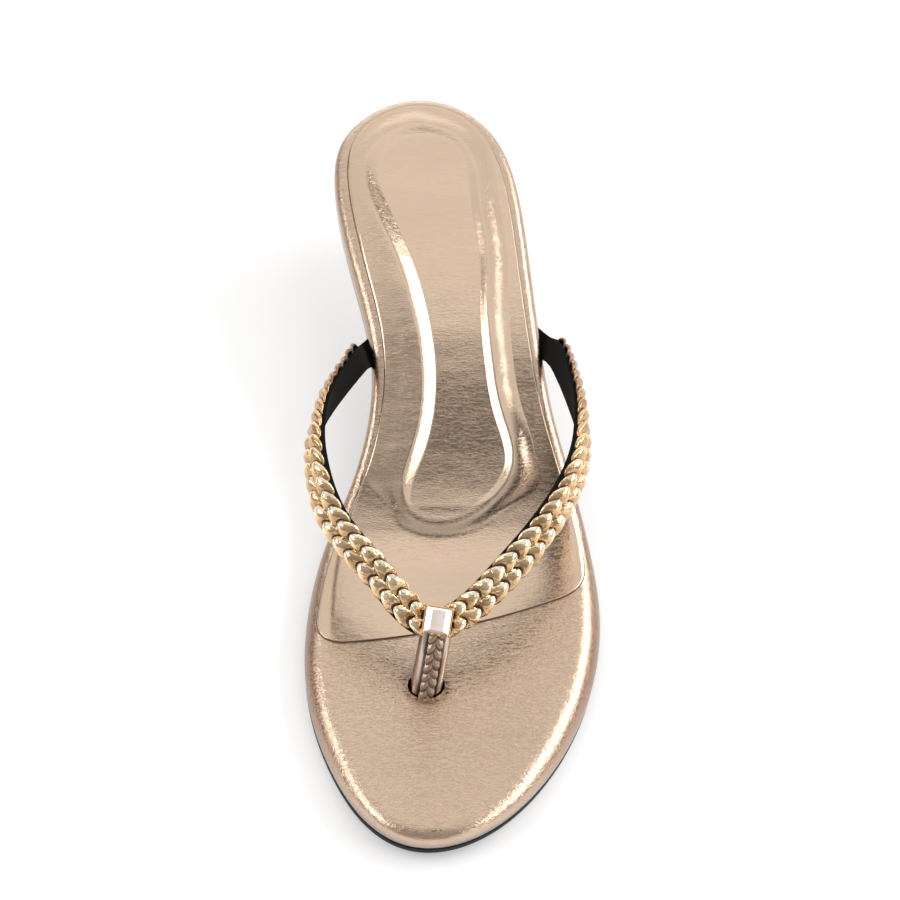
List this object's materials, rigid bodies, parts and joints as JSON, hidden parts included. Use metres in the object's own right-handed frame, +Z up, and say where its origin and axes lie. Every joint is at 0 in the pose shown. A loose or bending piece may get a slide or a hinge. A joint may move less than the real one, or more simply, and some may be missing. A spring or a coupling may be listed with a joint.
{
  "type": "kitten heel thong sandal",
  "caption": "Women's left thong sandal on a low kitten heel: braided V strap, toe post with a square stone, and a padded footbed.",
  "frame": {"origin": "centre of the sandal's box, on the floor that the forefoot and the heel tip rest on", "axes": "-Y towards the toe, +Y towards the heel, +X towards the outer (lateral) side of the left foot, +Z up"},
  "size_m": [0.0858, 0.2406, 0.049],
  "materials": {
    "wrapped_board": "metallic rose gold, fine wrinkled grain",
    "footbed_leather": "metallic rose gold, fine wrinkled grain",
    "heel_leather": "metallic rose gold, fine wrinkled grain",
    "strap_leather": "gold foil braid",
    "strap_lining": "black suede",
    "post_leather": "pewter rose metallic",
    "sole_rubber": "satin black",
    "tip_rubber": "matt black",
    "stone": "milky, polished facets",
    "setting_metal": "polished gold plate"
  },
  "bodies": {
    "root": {"platform": "wrapped_board", "outsole": "sole_rubber", "sock": "footbed_leather", "heel": "heel_leather", "heel_tip": "tip_rubber", "upper": "strap_leather", "stone": "stone", "setting": "setting_metal"}
  },
  "joints": []
}
